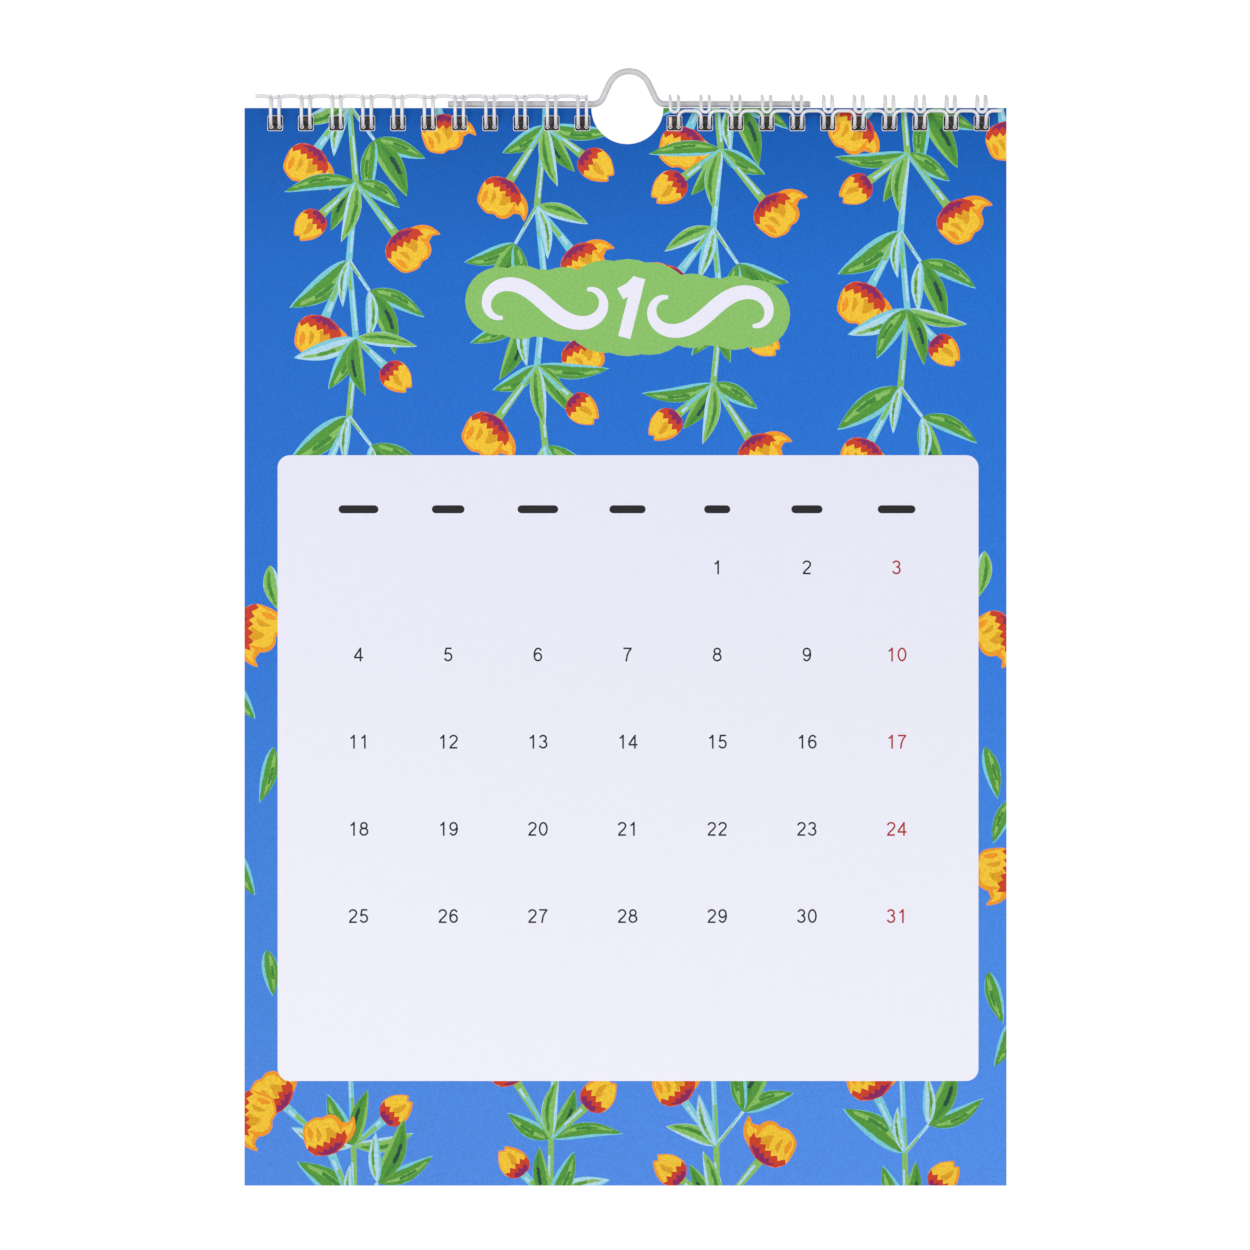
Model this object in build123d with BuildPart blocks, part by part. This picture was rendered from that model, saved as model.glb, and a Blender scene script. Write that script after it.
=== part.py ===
"""Wall calendar: A4 leaves on two double-loop wires, with a wire hanger (build123d, mm).

+Z is up and the printed side faces -Y. The origin is the inside top of the hanger's hook, where
the calendar hangs on its nail. Every piece is drawn where it sits, with the calendar closed.
"""
import os
from math import atan, cos, degrees, pi, radians, sin, tan

from build123d import *

os.makedirs("parts", exist_ok=True)

# ---------------------------------------------------------------- driving dimensions
page_w = 210.0            # A4 leaves, long side up
page_h = 297.0
leaf_t = 0.2              # one leaf
leaves_behind = 11        # leaves behind the front one
board_t = 0.5             # back board
stack_gap = 0.05          # air between front leaf, block and board

pitch = 8.467             # 3:1 punching, three holes to the inch
edge_min = 3.0            # least paper beside the outermost hole's place in the row
hole_side = 4.0
hole_top = 2.2            # paper above each hole
hole_corner_r = 0.45
hole_row_dx = 0.8         # row's centre, right of the page's centre
cut_dx = 0.5              # thumb cut's centre, right of the page's centre
hanger_dx = 1.0           # hanger's centre, right of the page's centre

wire_d = 0.9              # coated wire of the binding
ring_r = 4.3              # to the wire's centre
finger_w = 2.3            # between a finger's two legs
arch_corner_r = 1.9
seam_right = 88.0         # degrees round the ring from its lowest point, towards the front
seam_left = 150.0
tail = 2.3                # straight end past the outermost arch corner
hole_foot_clear = 0.65    # wire's lowest point above the hole's lower edge

rod_d = 1.7               # hanger wire
rod_length = 100.0
rod_clear = 0.3           # rod above the leaves' top edge
hook_centre_up = 3.1      # centre of the hook's arc above the rod
hook_lean = 25.0          # degrees
flare_r = 2.9
hook_in_cut = 1.05        # clearance of the hook folded down into the thumb cut

# ---------------------------------------------------------------- tied dimensions
per_side = int((page_w / 2 - edge_min) / pitch) - 1      # loops left and right of the thumb cut
cut_r = 1.5 * pitch - hole_side / 2 - 0.85
rod_lift = rod_d / 2 + rod_clear                         # rod's centre above the top edge
hook_r = cut_r - (hook_centre_up - rod_lift) - rod_d / 2 - hook_in_cut
hook_top = hook_centre_up + hook_r - rod_d / 2           # inside top above the rod's centre
rod_z = -hook_top
page_top = rod_z - rod_lift
page_x = -hanger_dx
row_x = page_x + hole_row_dx
cut_x = page_x + cut_dx
ring_drop = hole_top + hole_side - hole_foot_clear - wire_d / 2 - ring_r
ring_z = page_top - ring_drop

block_t = leaves_behind * leaf_t
stack_t = leaf_t + block_t + board_t + 2 * stack_gap
front_y = -stack_t / 2                                   # printed face of the front leaf
block_y = front_y + leaf_t + stack_gap
board_y = block_y + block_t + stack_gap

finger_side = [(i + 1.5) * pitch for i in range(per_side)]
left_fingers = [row_x - x for x in reversed(finger_side)]
right_fingers = [row_x + x for x in finger_side]


def leaf_stack(front, thickness):
    """A stack of leaves with its punched holes and its half-round thumb cut."""
    with BuildSketch(Plane.XZ.offset(-front)) as outline:
        with Locations((page_x, page_top - page_h / 2)):
            Rectangle(page_w, page_h)
        with Locations((cut_x, page_top)):
            Circle(cut_r, mode=Mode.SUBTRACT)
        with Locations(*[(x, page_top - hole_top - hole_side / 2)
                         for x in left_fingers + right_fingers]):
            RectangleRounded(hole_side, hole_side, hole_corner_r, mode=Mode.SUBTRACT)
    extrude(outline.sketch, amount=-thickness)


def on_ring(x, angle, along=0.0):
    """Point on the ring at an angle from its foot, then straight on along its tangent."""
    a = radians(angle)
    return Vector(x, -ring_r * sin(a) - along * cos(a), ring_z - ring_r * cos(a) + along * sin(a))


def loop_wire(fingers, seam, tail_side):
    """Path of one double-loop wire: down each finger, round its tip, back and over the arch."""
    half = finger_w / 2
    root = seam - degrees(atan(arch_corner_r / ring_r))       # where the arch leaves the ring
    need = half + arch_corner_r + wire_d + 0.13               # tip beside the arches' corners
    tip_up = (need ** 2 - (half + arch_corner_r) ** 2) ** 0.5 - arch_corner_r
    tip = seam - 360 + degrees(tip_up / ring_r)               # where the tip leaves the ring
    step = (root - tip) / 3
    r = arch_corner_r
    k = r * sin(radians(45))

    def leg(x, down):
        angles = [root - i * step / 2 for i in range(7)]
        angles = angles if down else angles[::-1]
        for i in (0, 2, 4):
            ThreePointArc(*[on_ring(x, a) for a in angles[i:i + 3]])

    def corner(x, side, up):
        ends = [on_ring(x, root), on_ring(x + side * (r - k), root, k),
                on_ring(x + side * r, root, r)]
        ThreePointArc(*(ends if up else ends[::-1]))

    if tail_side < 0:
        first = fingers[0] - half
        Line(on_ring(first - r - tail, root, r), on_ring(first - r, root, r))
        corner(first, -1, False)
    for i, x in enumerate(fingers):
        leg(x - half, True)
        ThreePointArc(on_ring(x - half, tip), on_ring(x, tip, -half), on_ring(x + half, tip))
        leg(x + half, False)
        if i < len(fingers) - 1:
            after = fingers[i + 1] - half
            corner(x + half, 1, True)
            Line(on_ring(x + half + r, root, r), on_ring(after - r, root, r))
            corner(after, -1, False)
    if tail_side > 0:
        last = fingers[-1] + half
        corner(last, 1, True)
        Line(on_ring(last + r, root, r), on_ring(last + r + tail, root, r))


# ---------------------------------------------------------------- hanger
lean = radians(hook_lean)
side_top = Vector(hook_r * cos(lean), hook_centre_up + hook_r * sin(lean))
flare_top = flare_r * (1 - sin(lean))
side_foot = Vector(side_top.X + (side_top.Y - flare_top) * tan(lean), flare_top)
flare_x = side_foot.X + flare_r * cos(lean)

with BuildPart() as hanger:
    with BuildLine(Plane((0, 0, rod_z), x_dir=(1, 0, 0), z_dir=(0, -1, 0))) as hanger_path:
        Line((-rod_length / 2, 0), (-flare_x, 0))
        CenterArc((-flare_x, flare_r), flare_r, 270, 90 - hook_lean)
        Line((-side_foot.X, side_foot.Y), (-side_top.X, side_top.Y))
        CenterArc((0, hook_centre_up), hook_r, 180 - hook_lean, -(180 - 2 * hook_lean))
        Line((side_top.X, side_top.Y), (side_foot.X, side_foot.Y))
        CenterArc((flare_x, flare_r), flare_r, 180 + hook_lean, 90 - hook_lean)
        Line((flare_x, 0), (rod_length / 2, 0))
    with BuildSketch(Plane(origin=(-rod_length / 2, 0, rod_z), z_dir=(1, 0, 0))):
        Circle(rod_d / 2)
    sweep(path=hanger_path.line)
    chamfer(hanger.part.faces().filter_by(Axis.X).edges(), 0.2)
hanger.part.label = "hanger"
export_step(hanger.part, "parts/hanger.step")

# ---------------------------------------------------------------- binding wires
with BuildPart() as left_wire:
    with BuildLine() as left_path:
        loop_wire(left_fingers, seam_left, -1)
    with BuildSketch(Plane(left_path.line @ 0, z_dir=left_path.line % 0)):
        Circle(wire_d / 2)
    sweep(path=left_path.line)
left_wire.part.label = "left_wire"
export_step(left_wire.part, "parts/left_wire.step")

with BuildPart() as right_wire:
    with BuildLine() as right_path:
        loop_wire(right_fingers, seam_right, 1)
    with BuildSketch(Plane(right_path.line @ 0, z_dir=right_path.line % 0)):
        Circle(wire_d / 2)
    sweep(path=right_path.line)
right_wire.part.label = "right_wire"
export_step(right_wire.part, "parts/right_wire.step")

# ---------------------------------------------------------------- leaves and board
with BuildPart() as front_leaf:
    leaf_stack(front_y, leaf_t)
front_leaf.part.label = "front_leaf"
export_step(front_leaf.part, "parts/front_leaf.step")

with BuildPart() as page_block:
    leaf_stack(block_y, block_t)
page_block.part.label = "page_block"
export_step(page_block.part, "parts/page_block.step")

with BuildPart() as back_board:
    leaf_stack(board_y, board_t)
back_board.part.label = "back_board"
export_step(back_board.part, "parts/back_board.step")

if __name__ == "__main__":
    for piece in (hanger, left_wire, right_wire, front_leaf, page_block, back_board):
        box = piece.part.bounding_box()
        print(piece.part.label, round(piece.part.volume, 2), len(piece.part.solids()),
              [round(v, 2) for v in (*box.min, *box.max)])
    for name, path in (("left", left_path), ("right", right_path)):
        length = sum(edge.length for edge in path.line.edges())
        print(name, "wire", round(length, 2), "long, volume", round(length * pi * wire_d ** 2 / 4, 2))
    print("page_top", round(page_top, 3), "ring_z", round(ring_z, 3), "rod_z", round(rod_z, 3))
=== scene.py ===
"""Looks of the wall calendar: coated wires, paper, board and two printed leaves (metres).

Print is drawn in millimetres from the middle of the page's top edge: u to the right, v down.
"""

import math
import random

import bpy
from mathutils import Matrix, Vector, geometry


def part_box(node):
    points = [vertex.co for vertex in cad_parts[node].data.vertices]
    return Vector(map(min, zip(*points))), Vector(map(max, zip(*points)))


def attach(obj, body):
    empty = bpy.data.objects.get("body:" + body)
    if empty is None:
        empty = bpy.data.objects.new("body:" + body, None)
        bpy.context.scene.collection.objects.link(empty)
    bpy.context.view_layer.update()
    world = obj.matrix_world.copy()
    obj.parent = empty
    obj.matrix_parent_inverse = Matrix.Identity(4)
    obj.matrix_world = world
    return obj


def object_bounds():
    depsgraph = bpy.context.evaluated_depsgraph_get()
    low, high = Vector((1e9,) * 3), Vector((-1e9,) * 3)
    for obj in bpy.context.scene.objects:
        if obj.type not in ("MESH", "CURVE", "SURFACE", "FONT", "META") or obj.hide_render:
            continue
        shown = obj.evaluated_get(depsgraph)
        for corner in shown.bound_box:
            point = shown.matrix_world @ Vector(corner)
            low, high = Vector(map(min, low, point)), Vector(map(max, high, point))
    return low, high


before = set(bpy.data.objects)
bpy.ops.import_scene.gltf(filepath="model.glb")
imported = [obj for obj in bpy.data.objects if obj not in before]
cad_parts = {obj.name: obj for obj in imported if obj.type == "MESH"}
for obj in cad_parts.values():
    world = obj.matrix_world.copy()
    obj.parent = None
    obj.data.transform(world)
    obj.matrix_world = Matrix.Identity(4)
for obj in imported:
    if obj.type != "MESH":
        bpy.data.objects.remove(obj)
cad_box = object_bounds()

MM = 0.001
LEAF_LOW, LEAF_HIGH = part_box("front_leaf")
BLOCK_LOW, BLOCK_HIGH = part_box("page_block")
LEAF_T = LEAF_HIGH[1] - LEAF_LOW[1]
PAGE_X = (LEAF_LOW[0] + LEAF_HIGH[0]) / 2          # middle of the page
PAGE_TOP = LEAF_HIGH[2]
PAGE_FOOT = LEAF_LOW[2]
PAGE_W = (LEAF_HIGH[0] - LEAF_LOW[0]) / MM
PAGE_H = (PAGE_TOP - PAGE_FOOT) / MM

# ---- punching, as on the CAD leaves
PITCH = 8.467
ROW_U = 0.8
PER_SIDE = 11
HOLE = 4.0
HOLE_TOP = 2.2
HOLE_CORNER_R = 0.45
CUT_U, CUT_R = 0.5, 9.85
FINGER_W = 2.3
RING_R = 4.3
RING_V = 0.8
HOLE_US = [ROW_U + side * (i + 1.5) * PITCH for side in (-1, 1) for i in range(PER_SIDE)]


# ---------------------------------------------------------------- materials
def srgb(r, g, b):
    """Linear colour from 0 to 255 display values."""
    def linear(c):
        c /= 255
        return c / 12.92 if c <= 0.04045 else ((c + 0.055) / 1.055) ** 2.4
    return (linear(r), linear(g), linear(b), 1.0)


def grey(value):
    return (value, value, value, 1.0)


def scaled(colour, share):
    return tuple(min(1, c * share) for c in colour[:3]) + (1.0,)


class Mat:
    """A Principled material with small helpers for its node tree; noise scales are per metre."""

    def __init__(self, name, roughness, specular):
        self.material = bpy.data.materials.new(name)
        self.material.use_nodes = True
        self.tree = self.material.node_tree
        self.shader = self.tree.nodes["Principled BSDF"]
        self.shader.inputs["Roughness"].default_value = roughness
        self.shader.inputs["Specular IOR Level"].default_value = specular

    def node(self, kind, **sockets):
        node = self.tree.nodes.new(kind)
        for key, value in sockets.items():
            node.inputs[key.replace("_", " ")].default_value = value
        return node

    def link(self, output, socket):
        self.tree.links.new(output, socket)

    def coords(self, what="Object"):
        return self.node("ShaderNodeTexCoord").outputs[what]

    def component(self, axis, what="Object"):
        split = self.node("ShaderNodeSeparateXYZ")
        self.link(self.coords(what), split.inputs[0])
        return split.outputs[axis]

    def noise(self, scale, detail):
        node = self.node("ShaderNodeTexNoise", Scale=scale, Detail=detail)
        self.link(self.coords(), node.inputs["Vector"])
        return node.outputs["Fac"]

    def calculate(self, operation, value):
        node = self.node("ShaderNodeMath")
        node.operation = operation
        self.link(value, node.inputs[0])
        return node

    def ramp(self, value, *stops):
        node = self.node("ShaderNodeValToRGB")
        elements = node.color_ramp.elements
        while len(elements) < len(stops):
            elements.new(0.5)
        for element, (place, colour) in zip(elements, stops):
            element.position, element.color = place, colour
        self.link(value, node.inputs["Fac"])
        return node.outputs["Color"]

    def along(self, axis, start, end, *stops):
        """Colour that runs along one axis of the calendar, from start to end."""
        place = self.node("ShaderNodeMapRange", From_Min=start, From_Max=end)
        self.link(self.component(axis), place.inputs["Value"])
        return self.ramp(place.outputs["Result"], *stops)

    def mix(self, share, a, b, how="MIX"):
        """Mix of two colours, each a value or an output of another node."""
        node = self.node("ShaderNodeMix")
        node.data_type, node.blend_type = "RGBA", how
        for socket, value in ((node.inputs[0], share), (node.inputs[6], a), (node.inputs[7], b)):
            if isinstance(value, bpy.types.NodeSocket):
                self.link(value, socket)
            else:
                socket.default_value = value
        return node.outputs[2]

    def multiply(self, a, b):
        return self.mix(1.0, a, b, "MULTIPLY")

    def colour(self, output):
        self.link(output, self.shader.inputs["Base Color"])

    def bump(self, height, strength, distance):
        node = self.node("ShaderNodeBump", Strength=strength, Distance=distance)
        self.link(height, node.inputs["Height"])
        self.link(node.outputs["Normal"], self.shader.inputs["Normal"])

    def press(self):
        """The slight unevenness that ink has on coated paper."""
        self.bump(self.noise(scale=3000, detail=2), strength=0.05, distance=0.01 * MM)


def ink(name, rgb, spread=0.10):
    """Print on coated paper: one ink colour with the soft mottle of an offset print."""
    m = Mat(name, roughness=0.42, specular=0.15)
    full = srgb(*rgb)
    mottle = m.noise(scale=1300, detail=3)
    m.colour(m.ramp(mottle, (0.35, scaled(full, 1 - spread)), (0.65, scaled(full, 1 + spread))))
    m.press()
    return m.material


def ground_ink():
    """The blue ground, with a fine grain and with painted light: deeper at the top left, lighter towards
    the foot and to the right.
    """
    m = Mat("print_ground_with_painted_light", roughness=0.45, specular=0.12)
    # painted light: the ground's blue deepens towards the top and lightens towards the foot
    painted_light_fall = m.along("Z", PAGE_TOP, PAGE_FOOT, (0.0, srgb(6, 88, 177)), (0.15, srgb(30, 108, 204)),
                   (0.45, srgb(46, 119, 217)), (0.75, srgb(70, 135, 225)), (1.0, srgb(82, 141, 232)))
    # painted light: a little darker to the left, a little lighter to the right
    across = m.along("X", LEAF_LOW[0], LEAF_HIGH[0],
                     (0.0, grey(0.96)), (0.5, grey(1.0)), (1.0, grey(1.04)))
    grain = m.ramp(m.noise(scale=2200, detail=4), (0.34, grey(0.90)), (0.66, grey(1.09)))
    m.colour(m.multiply(m.multiply(painted_light_fall, across), grain))
    m.press()
    return m.material


def panel_ink():
    """The bare panel of the month: nearly white, with painted light that makes it a little lighter
    towards the foot.
    """
    m = Mat("print_panel_with_painted_light", roughness=0.45, specular=0.12)
    # painted light: the panel grows lighter towards the foot
    painted_light_fall = m.along("Z", PAGE_TOP, PAGE_FOOT, (0.3, srgb(232, 232, 247)), (1.0, srgb(246, 246, 255)))
    fibre = m.ramp(m.noise(scale=800, detail=5), (0.35, grey(0.985)), (0.65, grey(1.0)))
    m.colour(m.multiply(painted_light_fall, fibre))
    m.bump(m.noise(scale=1800, detail=3), strength=0.04, distance=0.01 * MM)
    return m.material


def paper(name, rgb):
    """Coated paper: faint fibre on its faces and, across the stack, one fine line of painted shade for
    each leaf, where the leaves meet.
    """
    m = Mat(name, roughness=0.55, specular=0.3)
    full = srgb(*rgb)
    fibre = m.ramp(m.noise(scale=700, detail=6), (0.3, scaled(full, 0.965)), (0.7, full))
    # painted shade: a dark line for each leaf's thickness, shown where the surface doesn't face front or
    # back
    turn = m.calculate("MULTIPLY", m.component("Y"))
    turn.inputs[1].default_value = 2 * math.pi / LEAF_T
    wave = m.calculate("SINE", turn.outputs[0])
    leaf_gap_shade = m.ramp(wave.outputs[0], (0.0, grey(0.55)), (0.35, grey(0.9)), (1.0, grey(1.0)))
    facing = m.calculate("ABSOLUTE", m.component("Y", "Normal"))
    m.colour(m.mix(facing.outputs[0], m.multiply(fibre, leaf_gap_shade), fibre))
    m.bump(m.noise(scale=1800, detail=3), strength=0.12, distance=0.03 * MM)
    return m.material


def coat(name, rgb, roughness, worn):
    """Nylon or paint over steel wire, with a slight unevenness and rubbed patches."""
    m = Mat(name, roughness, specular=0.5)
    full = srgb(*rgb)
    m.colour(m.ramp(m.noise(scale=240, detail=4), (0.38, scaled(full, worn)), (0.6, full)))
    m.shader.inputs["Coat Weight"].default_value = 0.35
    m.shader.inputs["Coat Roughness"].default_value = 0.18
    m.bump(m.noise(scale=1400, detail=3), strength=0.10, distance=0.03 * MM)
    return m.material


def board():
    """Grey-white board with flecks of fibre."""
    m = Mat("back_board_paper", roughness=0.75, specular=0.2)
    base = m.ramp(m.noise(scale=700, detail=6), (0.3, srgb(216, 215, 211)), (0.7, srgb(223, 222, 218)))
    flecks = m.ramp(m.noise(scale=2400, detail=2), (0.28, grey(0.86)), (0.38, grey(1.0)))
    m.colour(m.multiply(base, flecks))
    m.bump(m.noise(scale=1500, detail=5), strength=0.15, distance=0.03 * MM)
    return m.material


def cave():
    """Painted shade: a dark sheet that stands in for the shade inside the punched stack."""
    m = Mat("punching_shadow", roughness=0.9, specular=0.1)
    # painted shade, a little uneven: dark brown-grey
    m.colour(m.ramp(m.noise(scale=900, detail=3), (0.35, srgb(58, 54, 54)), (0.65, srgb(96, 88, 86))))
    return m.material


def assign(node, material):
    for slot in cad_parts[node].material_slots:
        slot.material = material


assign("front_leaf", paper("leaf_paper", (240, 240, 246)))
assign("page_block", paper("block_paper", (240, 240, 245)))
assign("back_board", board())
binding_coat = coat("binding_coat", (234, 234, 237), roughness=0.28, worn=0.93)
assign("left_wire", binding_coat)
assign("right_wire", binding_coat)
assign("hanger", coat("hanger_paint", (206, 208, 211), roughness=0.38, worn=0.94))


# ---------------------------------------------------------------- flat print
def turned(points, angle, at):
    """Points turned about the origin and then moved."""
    c, s = math.cos(angle), math.sin(angle)
    return [(at[0] + u * c - v * s, at[1] + u * s + v * c) for u, v in points]


def disc(at, r, n=28):
    return [(at[0] + r * math.cos(2 * math.pi * i / n), at[1] + r * math.sin(2 * math.pi * i / n))
            for i in range(n)]


def rounded(u0, v0, u1, v1, r, n=8):
    """Rectangle with rounded corners, of n steps each."""
    out = []
    corners = ((u1 - r, v1 - r, 0), (u0 + r, v1 - r, 90), (u0 + r, v0 + r, 180), (u1 - r, v0 + r, 270))
    for centre_u, centre_v, start in corners:
        for i in range(n + 1):
            a = math.radians(start + 90 * i / n)
            out.append((centre_u + r * math.cos(a), centre_v + r * math.sin(a)))
    return out


class Page:
    """Flat print: shapes are laid one over another, then cut into one plane of coloured faces."""

    CELL = 8          # side of the squares that shapes are listed in, to find them quickly
    WELD = 1e-5       # points nearer than this become one

    def __init__(self):
        self.shapes = []

    def add(self, colour, points):
        self.shapes.append((colour, points))

    def top(self, u, v, cells):
        """Colour of the uppermost shape over a point."""
        for colour, points in cells.get((int(u // self.CELL), int(v // self.CELL)), ()):
            inside, (ua, va) = False, points[-1]
            for ub, vb in points:
                if (va > v) != (vb > v) and u < (ub - ua) * (v - va) / (vb - va) + ua:
                    inside = not inside
                ua, va = ub, vb
            if inside:
                return colour

    def mesh(self, name, materials, y):
        """One object at depth y, with faces wherever the uppermost colour has a material."""
        coords, edges, cells = [], [], {}
        for colour, points in self.shapes:
            first, n = len(coords), len(points)
            edges.extend((first + i, first + (i + 1) % n) for i in range(n))
            coords.extend(Vector(p) for p in points)
            us, vs = [p[0] // self.CELL for p in points], [p[1] // self.CELL for p in points]
            for cell_u in range(int(min(us)), int(max(us)) + 1):
                for cell_v in range(int(min(vs)), int(max(vs)) + 1):
                    cells.setdefault((cell_u, cell_v), []).insert(0, (colour, points))
        spots, _, tris, _, _, _ = geometry.delaunay_2d_cdt(coords, edges, [], 0, self.WELD, False)
        names = list(materials)
        keep, slots = [], []
        for tri in tris:
            u, v = (sum(spots[i][axis] for i in tri) / 3 for axis in (0, 1))
            colour = self.top(u, v, cells)
            if colour in materials:
                keep.append(list(tri)[::-1])
                slots.append(names.index(colour))
        used = sorted({i for tri in keep for i in tri})
        place = {old: new for new, old in enumerate(used)}
        mesh = bpy.data.meshes.new(name)
        mesh.from_pydata([(PAGE_X + spots[i][0] * MM, y, PAGE_TOP - spots[i][1] * MM) for i in used], [],
                         [[place[i] for i in tri] for tri in keep])
        for colour in names:
            mesh.materials.append(materials[colour])
        mesh.polygons.foreach_set("material_index", slots)
        mesh.update()
        if sum(face.normal.y for face in mesh.polygons) > 0:      # print faces -Y
            mesh.flip_normals()
        ob = bpy.data.objects.new(name, mesh)
        bpy.context.scene.collection.objects.link(ob)
        return ob


page = Page()
rng = random.Random()


# ---------------------------------------------------------------- leaves and flowers
# looks of a leaf: its edge, body, rib and vein
LEAF_LOOKS = {"mid": ("sky", "mid", "light", "dark"), "light": ("pale", "light", "mid", "dark"),
              "deep": ("light", "mid", "dark", "teal"), "pale": ("sky", "pale", "light", "mid")}
SECOND_TONE = {"sky": "light", "light": "sky", "pale": "light"}


def smooth(points, n=5):
    """Round closed outline through a few points."""
    out = []
    for i in range(len(points)):
        p0, p1, p2, p3 = (Vector(points[(i + k) % len(points)]) for k in (-1, 0, 1, 2))
        for t in (j / n for j in range(n)):
            bend = (2 * p0 - 5 * p1 + 4 * p2 - p3) * t ** 2 + (3 * p1 - p0 - 3 * p2 + p3) * t ** 3
            out.append(tuple(p1 + ((p2 - p0) * t + bend) / 2))
    return out


def reach(at, angle, length):
    """The place at a distance from another; angle 0 is down the page."""
    a = math.radians(90 - angle)
    return (at[0] + length * math.cos(a), at[1] + length * math.sin(a))


def leaf(at, angle, length, width, look):
    """A leaf that points along angle (0 is down the page): an edge, a body, a rib and a vein."""
    hand = rng.choice((-1, 1))
    curve = rng.uniform(0.02, 0.09) * length * hand

    def blade(start, end, far, near, ragged=0.0):
        """Outline between two places along the leaf and two shares of its half width."""
        n = 14
        sides = []
        for share in (far, -near):
            side = []
            for i in range(n + 1):
                t = start + (end - start) * i / n
                w = width / 2 * math.sin(math.pi * t ** 0.82) ** 0.85 * share * hand
                w += ragged * (rng.random() - 0.5) if 0 < i < n else 0
                side.append((t * length, w + curve * math.sin(math.pi * t)))
            sides.append(side)
        return turned(sides[0] + sides[1][-2:0:-1], math.radians(90 - angle), at)

    edge, body, rib, vein = LEAF_LOOKS[look]
    page.add(edge, blade(0, 1, 1.0, 1.0))
    page.add(body, blade(0.0, 0.98, 0.94, 0.62, 0.16))
    page.add(rib, blade(0.10, 0.88, 0.52, -0.04, 0.36))
    page.add(vein, blade(0.34, 0.66, 0.44, -0.08, 0.30))


def stem(a, b, w0, w1, look):
    """A straight stem that widens from w0 to w1, with a second and a third tone on parts of it."""
    d = Vector(b) - Vector(a)
    side = Vector((-d.y, d.x)).normalized()
    change = 0.35 + 0.4 * rng.random()

    def part(t0, t1, share=1.0, off=0.0):
        out = []
        for t, s in ((t0, 1), (t1, 1), (t1, -1), (t0, -1)):
            w = (w0 + (w1 - w0) * t) / 2 * share
            out.append(tuple(Vector(a) + d * t + side * (s * w + off)))
        return out

    page.add(look, part(0, 1))
    page.add(SECOND_TONE[look], part(0.0, change, 0.5, w0 * 0.16))
    page.add("pale" if look != "pale" else "sky", part(change, 0.9, 0.36, -w0 * 0.2))


# outlines along x, from the stalk to the tip, and across y, in shares of the flower's length;
# the word before each says whether it is rounded off or stays jagged
BUD = (
    ("orange", "round", ((0.02, -0.22), (-0.01, 0.03), (0.05, 0.27), (0.30, 0.43), (0.62, 0.40),
                         (0.88, 0.25), (0.99, 0.13), (0.92, 0.03), (1.01, -0.09), (0.88, -0.24),
                         (0.62, -0.41), (0.28, -0.43))),
    ("yellow", "round", ((0.24, -0.38), (0.22, 0.34), (0.58, 0.33), (0.82, 0.20), (0.93, 0.11),
                         (0.87, 0.02), (0.95, -0.09), (0.85, -0.23), (0.60, -0.38))),
    ("amber", "round", ((0.42, -0.08), (0.40, 0.08), (0.62, 0.15), (0.80, 0.06), (0.60, -0.01))),
    ("red", "jagged", ((0.0, -0.20), (-0.03, 0.0), (0.0, 0.24), (0.14, 0.38), (0.36, 0.43),
                       (0.30, 0.30), (0.42, 0.22), (0.29, 0.12), (0.40, 0.02), (0.27, -0.08),
                       (0.40, -0.18), (0.29, -0.28), (0.38, -0.43), (0.15, -0.38))),
    ("purple", "jagged", ((0.0, -0.14), (-0.01, 0.16), (0.10, 0.27), (0.21, 0.19), (0.12, 0.09),
                          (0.23, 0.0), (0.12, -0.08), (0.20, -0.18), (0.08, -0.25))))
BLOOM = (
    ("orange", "round", ((0.02, -0.16), (0.0, 0.14), (0.09, 0.38), (0.32, 0.53), (0.60, 0.55),
                         (0.84, 0.47), (0.95, 0.29), (0.94, 0.12), (1.01, -0.04), (0.97, -0.25),
                         (0.87, -0.42), (0.66, -0.50), (0.36, -0.53), (0.12, -0.40))),
    ("orange", "round", ((0.14, 0.34), (0.16, 0.58), (0.36, 0.80), (0.66, 0.88), (0.58, 0.70),
                         (0.62, 0.50))),
    ("yellow", "round", ((0.32, 0.48), (0.32, 0.64), (0.44, 0.75), (0.56, 0.80), (0.50, 0.66),
                         (0.52, 0.50))),
    ("yellow", "round", ((0.28, -0.46), (0.24, 0.34), (0.50, 0.42), (0.76, 0.40), (0.88, 0.26),
                         (0.88, 0.10), (0.95, -0.05), (0.92, -0.24), (0.83, -0.37), (0.62, -0.44))),
    ("amber", "round", ((0.34, 0.02), (0.36, 0.30), (0.56, 0.26), (0.66, 0.12), (0.52, 0.08))),
    ("amber", "round", ((0.42, -0.20), (0.52, -0.06), (0.76, -0.09), (0.60, -0.16))),
    ("orange", "round", ((0.50, -0.36), (0.66, -0.24), (0.86, -0.28), (0.70, -0.38))),
    ("red", "jagged", ((0.0, -0.14), (-0.02, 0.12), (0.07, 0.36), (0.24, 0.52), (0.44, 0.54),
                       (0.37, 0.42), (0.46, 0.33), (0.32, 0.24), (0.40, 0.13), (0.27, 0.06),
                       (0.37, -0.06), (0.25, -0.13), (0.36, -0.24), (0.27, -0.33), (0.42, -0.45),
                       (0.32, -0.53), (0.11, -0.39))),
    ("purple", "jagged", ((0.02, -0.10), (0.0, 0.08), (0.10, 0.30), (0.20, 0.40), (0.17, 0.28),
                          (0.24, 0.20), (0.13, 0.12), (0.21, 0.03), (0.11, -0.04), (0.20, -0.13),
                          (0.11, -0.19), (0.18, -0.34), (0.08, -0.26))))


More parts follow.
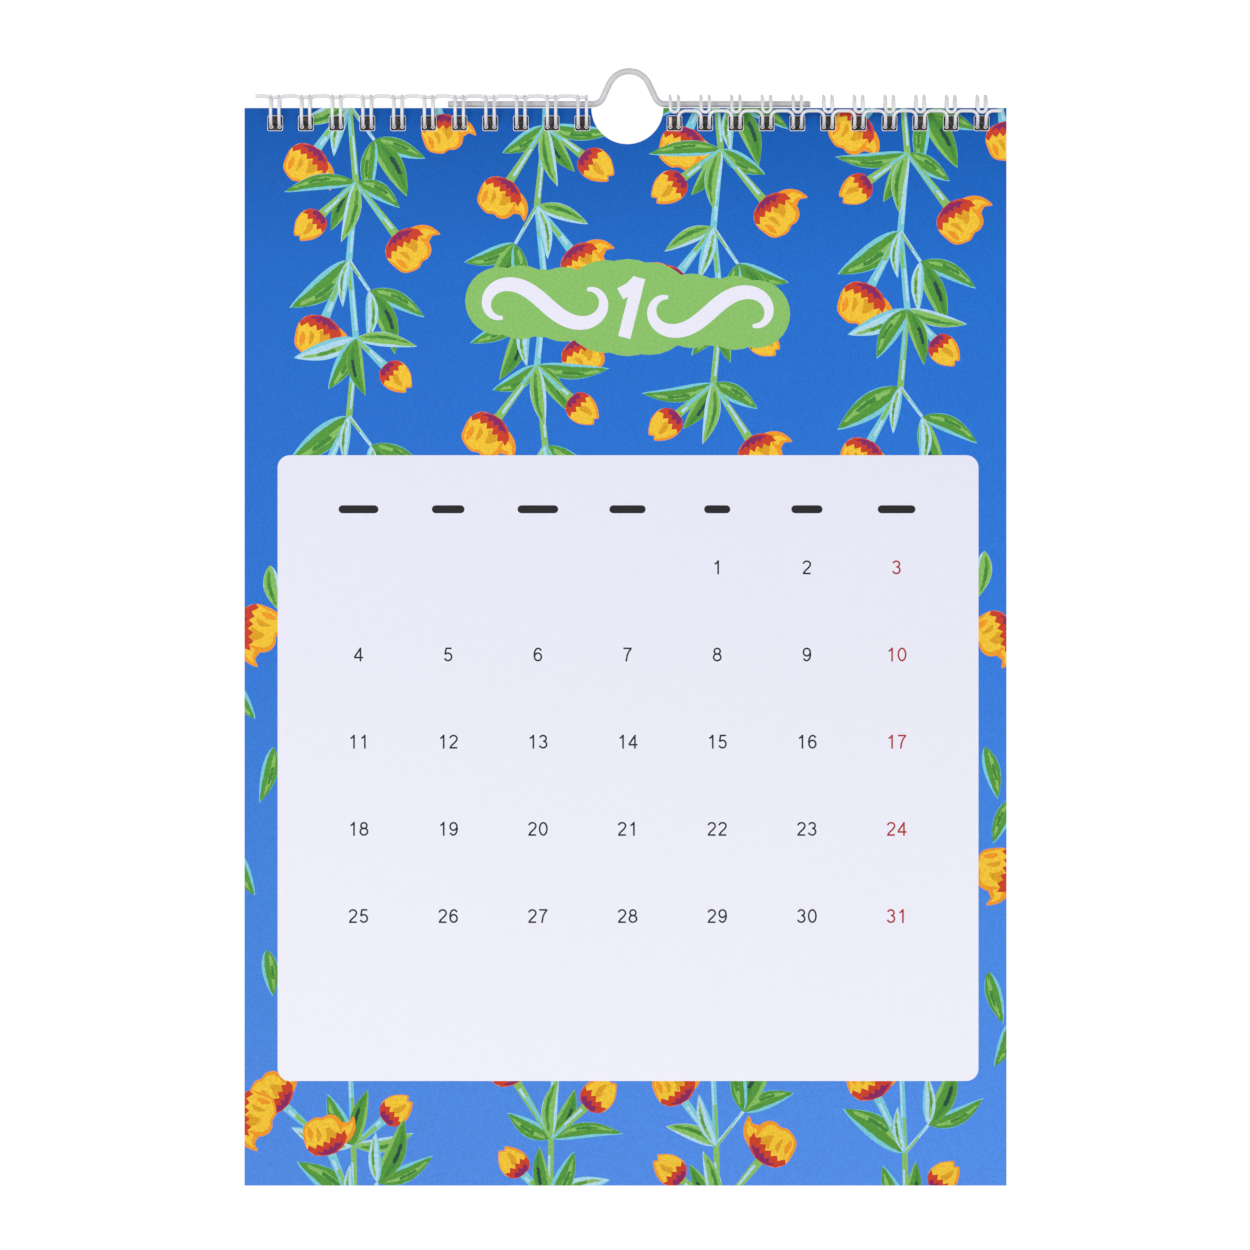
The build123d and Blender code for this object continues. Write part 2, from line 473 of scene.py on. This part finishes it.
def flower(at, angle, length, size, kind=BLOOM, look="sky"):
    """A bud or a half-open bloom at the end of a stalk that widens towards it."""
    tip = reach(at, angle, length)
    stem(at, tip, 1.1, 2.5, look)
    hand = rng.choice((-1, 1))
    grow = size * rng.uniform(0.94, 1.06)
    for colour, corners, outline in kind:
        points = [(x * grow, y * grow * hand) for x, y in outline]
        if corners == "round":
            points = smooth(points)
        page.add(colour, turned(points, math.radians(90 - angle), tip))


# what springs from a joint: angle off the stem's own direction, length, then a leaf's width, a
# flower's size or a twig's own leaves, and the look
KNOTS = (
    (("leaf", 84, 20, 4.4, "mid"), ("leaf", -60, 14, 5.0, "mid"), ("bloom", -36, 18, 11.0, "light"),
     ("leaf", 30, 15, 4.8, "deep"), ("bud", 50, 13, 9.8, "light"), ("leaf", 9, 17, 4.4, "light")),
    (("leaf", 52, 21, 7.0, "mid"),
     ("twig", -36, 10, ((-64, 17, 4.8, "mid"), (-22, 19, 5.6, "deep"), (2, 14, 3.6, "pale"))),
     ("bloom", 26, 17, 11.2, "sky"), ("leaf", 6, 13, 3.0, "pale")),
    (("leaf", 70, 18, 5.2, "pale"), ("leaf", -78, 17, 4.0, "light"), ("leaf", 28, 16, 5.4, "mid"),
     ("bud", -46, 11, 9.0, "sky"), ("leaf", -14, 16, 4.6, "deep")),
    (("twig", -34, 12, ((-70, 15, 4.8, "mid"), (-30, 18, 6.0, "deep"), (4, 16, 4.6, "mid"))),
     ("leaf", 66, 15, 4.4, "light"), ("bloom", 40, 15, 10.8, "sky"), ("leaf", 14, 15, 3.8, "pale")))


def knot(at, hand, kind, facing=0):
    """Everything that springs from one joint; hand is 1 or -1, facing turns it all."""
    for what, angle, length, size, *look in KNOTS[kind]:
        turn = facing + hand * (angle + rng.uniform(-5, 5))
        if what == "leaf":
            leaf(at, turn, length, size, look[0])
        elif what == "twig":
            end = reach(at, turn, length)
            stem(at, end, 1.1, 0.9, "pale")
            for own_angle, own_length, width, own_look in size:
                leaf(end, facing + hand * own_angle, own_length, width, own_look)
        else:
            flower(at, turn, length, size, BLOOM if what == "bloom" else BUD, look[0])


def hanging(u0, v0, step, hand, kinds, drift):
    """A stem that hangs from above the page, with a knot at each step."""
    points = [(u0 - drift, v0 - step)]
    for i in range(len(kinds)):
        points.append((u0 + drift * (1 if i % 2 else -0.6), v0 + i * step))
    for i, (a, b) in enumerate(zip(points, points[1:])):
        stem(a, b, 1.5, 1.8, "light" if i % 3 == 1 else "sky")
    for p, kind in zip(points[1:], kinds):
        knot(p, hand, kind)


def rising(u, v, hand, kinds):
    """A stem that grows up from the foot of the page."""
    stem((u + hand, v + 46), (u, v), 1.9, 1.6, "light")
    stem((u, v), (u - hand, v - 24), 1.6, 1.4, "sky")
    for i, kind in enumerate(kinds):
        knot((u + hand * 0.4 * i, v + 18 * i), hand, kind, 180)


# single flowers and leaves at the page's edges: u, v, angle and length, then a flower's size
EDGE_FLOWERS = ((-52, -3, 8, 5, 11.0), (103, -2, 10, 6, 11.0), (-112, 141, 78, 5, 11.5),
                (112, 140, -66, 6, 11.5), (113, 211, -96, 5, 11.5), (-84, 284, 228, 13, 11.5),
                (-113, 276, 84, 5, 11.0))
EDGE_LEAVES = ((-98, 126, 12, 13), (99, 122, -8, 13), (-97, 176, -14, 16), (99, 176, 14, 15),
               (-99, 232, 8, 13), (100, 238, 16, 15), (-108, 158, 30, 12), (107, 190, -24, 14),
               (-107, 205, 22, 13), (106, 252, -20, 13))
LIGHT_LEAVES_TO = 150


def foliage():
    """Stems that hang from the top, sprigs at the sides and stems that rise from the foot."""
    hanging(-75.5, -1.0, 21.5, -1, (3, 0, 1, 2, 1), 1.2)
    hanging(-23.0, 5.0, 22.0, 1, (0, 3, 1, 0, 1), -1.4)
    hanging(25.0, -10.0, 21.5, -1, (1, 0, 3, 2, 0), 1.3)
    hanging(76.5, -9.0, 21.5, -1, (3, 0, 1, 2, 1), 1.2)
    for u, v, angle, length, size in EDGE_FLOWERS:
        flower((u, v), angle, length, size)
    for u, v, angle, length in EDGE_LEAVES:
        leaf((u, v), angle, length, 4.6, "light" if v < LIGHT_LEAVES_TO else "mid")
    rising(-75.0, 286.0, 1, (2, 1))
    rising(-20.5, 284.0, -1, (0, 2))
    rising(25.0, 286.0, 1, (3, 0))
    rising(77.0, 288.0, 1, (1, 2))


# ---------------------------------------------------------------- numbers
def arc(centre_u, centre_v, ru, rv, start, end, n=18):
    """Points of an arc, angles in degrees from the right, turning down the page."""
    angles = [math.radians(start + (end - start) * i / n) for i in range(n + 1)]
    return [(centre_u + ru * math.cos(a), centre_v + rv * math.sin(a)) for a in angles]


# centrelines of plain digits, in shares of their height, v down from the top
DIGITS = {
    "0": [arc(0.28, 0.50, 0.215, 0.44, -90, 270, 30)],
    "1": [[(0.13, 0.27), (0.25, 0.18), (0.335, 0.04)], [(0.335, 0.0), (0.335, 1.0)]],
    "2": [arc(0.275, 0.285, 0.205, 0.225, 188, 385) + [(0.38, 0.52), (0.17, 0.76), (0.08, 0.94)],
          [(0.04, 0.94), (0.50, 0.94)]],
    "3": [arc(0.265, 0.265, 0.185, 0.205, 195, 450), arc(0.265, 0.70, 0.21, 0.24, -90, 165)],
    "4": [[(0.42, 0.02), (0.05, 0.69)], [(0.02, 0.72), (0.55, 0.72)], [(0.395, 0.02), (0.395, 1.0)]],
    "5": [[(0.48, 0.06), (0.16, 0.06)], [(0.165, 0.03), (0.10, 0.50)],
          arc(0.27, 0.67, 0.21, 0.27, -142, 158)],
    "6": [arc(0.285, 0.67, 0.20, 0.27, -90, 270, 26), arc(0.30, 0.50, 0.225, 0.44, 160, 322)],
    "7": [[(0.04, 0.06), (0.52, 0.06)], [(0.50, 0.06), (0.36, 0.28), (0.26, 0.55), (0.20, 1.0)]],
    "8": [arc(0.28, 0.265, 0.175, 0.205, -90, 270, 24), arc(0.28, 0.70, 0.215, 0.24, -90, 270, 26)],
    "9": [arc(0.275, 0.33, 0.20, 0.27, -90, 270, 26), arc(0.26, 0.50, 0.225, 0.44, -20, 142)],
}
DIGIT_STEP = 0.775        # from one digit to the next, in heights
DIGIT_STRETCH = 1.22      # across
DIGIT_MIDDLE = 0.28       # of the centrelines above


def stroke(points, width):
    """Outline of a line of one width, which may be closed on itself."""
    closed = (points[0] - points[-1]).length < 1e-6
    sides = ([], [])
    for k, p in enumerate(points):
        before = points[k - 1] if k else (points[-2] if closed else p)
        after = points[k + 1] if k < len(points) - 1 else (points[1] if closed else p)
        d = (after - before).normalized()
        off = Vector((-d.y, d.x)) * width / 2
        sides[0].append(tuple(p + off))
        sides[1].append(tuple(p - off))
    return sides[0] + sides[1][::-1]


def number(text, u, v, height, colour, weight=0.122, slant=0.0):
    """A plain number centred at (u, v); its weight is its strokes' width in heights."""
    left = u - height * (DIGIT_STEP * (len(text) - 1) / 2 + DIGIT_MIDDLE * DIGIT_STRETCH)
    for i, digit in enumerate(text):
        for line in DIGITS[digit]:
            points = []
            for a, b in line:
                across = i * DIGIT_STEP + a * DIGIT_STRETCH + slant * (0.5 - b)
                points.append(Vector((left + height * across, v + height * (b - 0.5))))
            page.add(colour, stroke(points, height * weight))


# ---------------------------------------------------------------- the month's page
SHEET = [(-PAGE_W / 2, 0), (PAGE_W / 2, 0), (PAGE_W / 2, PAGE_H), (-PAGE_W / 2, PAGE_H)]
TITLE_U, TITLE_V = 0.6, 55.0
TITLE_H = 16.5            # the month number's height
TITLE_SLOPE = 0.05        # the field falls a little to the right
SCALLOPS, SCALLOP_STEP, SCALLOP_R = 13, 5.9, 9.4
SCROLL_U, SCROLL_V = 22.8, 1.1
SCROLL_LENGTH, SCROLL_W = 27.5, 4.4
PANEL = (-95.9, 95.7, 97.3, 268.2)
PANEL_R = 3.4
COLUMNS = [-73.6 + 24.72 * i for i in range(7)]
ROWS = [126.6 + 24.03 * i for i in range(5)]
BAR_TOP, BAR_FOOT = 109.5, 111.7
BAR_HALVES = (5.5, 4.5, 5.6, 5.0, 3.6, 4.3, 5.2)
DATE_H = 3.85
RIM = 0.14                # bare paper round each hole
CUT_RIM = 0.10            # and round the thumb cut
OUTSIDE = 60              # as far as anything is drawn past the sheet
SEED = 6


def scroll(at, hand, length, width, curl=4.1, n=36):
    """An S-shaped pen stroke whose ends curl in, heaviest in its middle."""
    half, p = [Vector((0, 0))], Vector((0, 0))
    for i in range(n):
        a = curl * ((i + 0.5) / n) ** 2 - math.radians(42)
        p = p + Vector((math.cos(a), math.sin(a))) * length / n
        half.append(p)
    line = [-q for q in half[:0:-1]] + half
    left, right = [], []
    for i, q in enumerate(line):
        d = (line[min(i + 1, 2 * n)] - line[max(i - 1, 0)]).normalized()
        w = width / 2 * (0.22 + 0.78 * math.sin(math.pi * i / (2 * n)) ** 0.8)
        for side, s in ((left, 1), (right, -1)):
            side.append((at[0] + hand * (q.x - s * w * d.y), at[1] + q.y + s * w * d.x))
    page.add("white", left + right[::-1])


def title(month):
    """A scalloped green field, fuller in its middle, with a plain month number and two flourishes."""
    for i in range(SCALLOPS):
        u = SCALLOP_STEP * (i - SCALLOPS // 2)
        r = SCALLOP_R + 0.8 * (i % 2) + 4.0 * math.exp(-(u / 9) ** 2)
        page.add("field", disc((TITLE_U + u, TITLE_V + TITLE_SLOPE * u), r))
    for side in (-1, 1):
        at = (TITLE_U + side * SCROLL_U, TITLE_V + side * SCROLL_V)
        scroll(at, side, SCROLL_LENGTH, SCROLL_W)
    number(str(month), TITLE_U, TITLE_V, TITLE_H, "white", weight=0.21, slant=0.25)


def calendar(first, days):
    """The white panel with a bar for each weekday and the dates below."""
    page.add("panel", rounded(*PANEL, PANEL_R))
    for u, half in zip(COLUMNS, BAR_HALVES):
        page.add("text", rounded(u - half, BAR_TOP, u + half, BAR_FOOT, (BAR_FOOT - BAR_TOP) / 2, 5))
    for day in range(1, days + 1):
        row, column = divmod(first + day - 1, 7)
        number(str(day), COLUMNS[column], ROWS[row], DATE_H, "sunday" if column == 6 else "day")


def hole(u, grow, r):
    """A punched hole's outline, larger by grow on each side."""
    half = HOLE / 2 + grow
    return rounded(u - half, HOLE_TOP - grow, u + half, HOLE_TOP + HOLE + grow, r, 4)


def punching():
    """Paper left bare at the holes, and what is cut away: holes, thumb cut and all outside."""
    for u in HOLE_US:
        page.add("bare", hole(u, RIM, 0.5))
        page.add("nothing", hole(u, 0, HOLE_CORNER_R))
    page.add("nothing", disc((CUT_U, 0), CUT_R + CUT_RIM, 96))
    left, right = -PAGE_W / 2, PAGE_W / 2
    for u0, v0, u1, v1 in ((left - OUTSIDE, -OUTSIDE, right + OUTSIDE, 0),
                           (left - OUTSIDE, PAGE_H, right + OUTSIDE, PAGE_H + OUTSIDE),
                           (left - OUTSIDE, -OUTSIDE, left, PAGE_H + OUTSIDE),
                           (right, -OUTSIDE, right + OUTSIDE, PAGE_H + OUTSIDE)):
        page.add("nothing", [(u0, v0), (u1, v0), (u1, v1), (u0, v1)])


def lay_out(month, first, days):
    """Draw one month's page; first is the column of its first day."""
    page.shapes.clear()
    rng.seed(SEED + month)
    page.add("ground", SHEET)
    foliage()
    title(month)
    calendar(first, days)
    punching()


INKS = {
    "ground": ground_ink(),
    "light": ink("print_light_green", (134, 190, 98)),
    "mid": ink("print_green", (84, 152, 58)),
    "dark": ink("print_dark_green", (66, 138, 56)),
    "teal": ink("print_dark_teal", (36, 76, 66)),
    "sky": ink("print_light_blue", (122, 202, 216)),
    "pale": ink("print_pale_blue", (176, 216, 236)),
    "yellow": ink("print_yellow", (243, 196, 52)),
    "amber": ink("print_amber", (222, 160, 30)),
    "orange": ink("print_orange", (240, 152, 34)),
    "red": ink("print_red", (204, 62, 38)),
    "purple": ink("print_purple", (138, 36, 96)),
    "field": ink("print_title_field", (138, 194, 104), 0.06),
    "white": ink("print_title_white", (236, 234, 248), 0.02),
    "panel": panel_ink(),
    "text": ink("print_bars", (38, 38, 42), 0.05),
    "day": ink("print_day", (36, 36, 42), 0.06),
    "sunday": ink("print_sunday", (176, 42, 38), 0.06),
    "bare": ink("print_bare_paper", (240, 240, 246), 0.02),
}
PRINT_T = 0.010 * MM
for name, month, first, days, face, body, slot in (
        ("month_print", 1, 4, 31, LEAF_LOW[1], "front_leaf", "front_leaf"),
        ("next_month_print", 2, 0, 28, BLOCK_LOW[1], "pad", "pages")):
    lay_out(month, first, days)
    sheet_print = page.mesh(name, INKS, face - PRINT_T)
    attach(sheet_print, body)


# ---------------------------------------------------------------- painted shade: the dark sheet inside the punching
SHADE_GAP = 0.01          # inside the hole's edge
WIRE_HOLE_R = 0.55        # where a wire's leg goes through
shade = Page()
for u in HOLE_US:
    shade.add("dark", hole(u, -SHADE_GAP, HOLE_CORNER_R))
    for side in (-1, 1):
        shade.add("nothing", disc((u + side * FINGER_W / 2, RING_V + RING_R), WIRE_HOLE_R, 20))
# a dark sheet at mid-depth in the stack's holes, painted shade standing in for the shadow in them
inside = shade.mesh("punching_shadow", {"dark": cave()}, (BLOCK_LOW[1] + BLOCK_HIGH[1]) / 2)
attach(inside, "pad")


# ---------------------------------------------------------------- stage, light and camera
def light(name, at, aim, size, power):
    """A round studio lamp of the given size and watts."""
    data = bpy.data.lights.new(name, "AREA")
    data.shape, data.size, data.energy = "DISK", size, power
    ob = bpy.data.objects.new(name, data)
    ob.location = at
    ob.rotation_euler = (Vector(aim) - Vector(at)).to_track_quat("-Z", "Y").to_euler()
    bpy.context.scene.collection.objects.link(ob)


middle = Vector((PAGE_X, 0, (cad_box[0][2] + cad_box[1][2]) / 2))
light("key", (-0.9, -1.5, 0.25), middle, 0.9, 12.5)
light("fill", (1.1, -1.3, 0.0), middle, 1.2, 6.2)
light("back", (0.4, 1.5, 0.5), middle, 1.2, 6.0)

FLOOR_R = 0.36
FLOOR_DROP = 0.075        # below the calendar, which hangs
bpy.ops.mesh.primitive_circle_add(vertices=96, radius=FLOOR_R, fill_type="NGON",
                                  location=(PAGE_X, 0, cad_box[0][2] - FLOOR_DROP))
floor = bpy.context.object
floor.name = "floor"
pale = Mat("floor_pale", roughness=0.8, specular=0.2)
pale.colour(pale.ramp(pale.noise(scale=400, detail=3), (0.3, grey(0.83)), (0.7, grey(0.85))))
floor.data.materials.append(pale.material)

world = bpy.data.worlds.new("studio")
bpy.context.scene.world = world
world.use_nodes = True
tree = world.node_tree
split = tree.nodes.new("ShaderNodeSeparateXYZ")
tree.links.new(tree.nodes.new("ShaderNodeTexCoord").outputs["Generated"], split.inputs[0])


def sky(axis, *stops):
    """Brightness of the studio's walls by direction along one axis, from -1 to 1."""
    lift = tree.nodes.new("ShaderNodeMapRange")
    lift.inputs["From Min"].default_value = -1.0
    tree.links.new(split.outputs[axis], lift.inputs["Value"])
    ramp = tree.nodes.new("ShaderNodeValToRGB")
    tree.links.new(lift.outputs["Result"], ramp.inputs["Fac"])
    elements = ramp.color_ramp.elements
    while len(elements) < len(stops):
        elements.new(0.5)
    for element, (place, value) in zip(elements, stops):
        element.position, element.color = (place + 1) / 2, grey(value)
    return ramp.outputs["Color"]


both = tree.nodes.new("ShaderNodeMix")
both.data_type, both.blend_type = "RGBA", "MULTIPLY"
both.inputs[0].default_value = 1.0
tree.links.new(sky("Y", (-1.0, 0.62), (0.0, 0.56), (0.5, 0.76), (0.8, 1.0)), both.inputs[6])
tree.links.new(sky("Z", (-1.0, 1.0), (0.15, 1.0), (0.6, 0.66), (1.0, 0.45)), both.inputs[7])
tree.links.new(both.outputs[2], tree.nodes["Background"].inputs["Color"])
tree.nodes["Background"].inputs["Strength"].default_value = 1.0

DISTANCE = 2.5
SENSOR = 36.0
VIEW_W = 0.34455          # width of the picture at the page
VIEW_X = -0.14 * MM       # its middle, from the page's
VIEW_V = 142.5 * MM       # and below the page's top
camera_data = bpy.data.cameras.new("camera")
camera_data.sensor_width = SENSOR
camera_data.lens = SENSOR * DISTANCE / VIEW_W
camera_data.clip_end = 50
camera = bpy.data.objects.new("camera", camera_data)
camera.location = (PAGE_X + VIEW_X, LEAF_LOW[1] - DISTANCE, PAGE_TOP - VIEW_V)
camera.rotation_euler = (math.radians(90), 0, 0)
bpy.context.scene.collection.objects.link(camera)
bpy.context.scene.camera = camera
bpy.context.scene.view_settings.view_transform = "Standard"
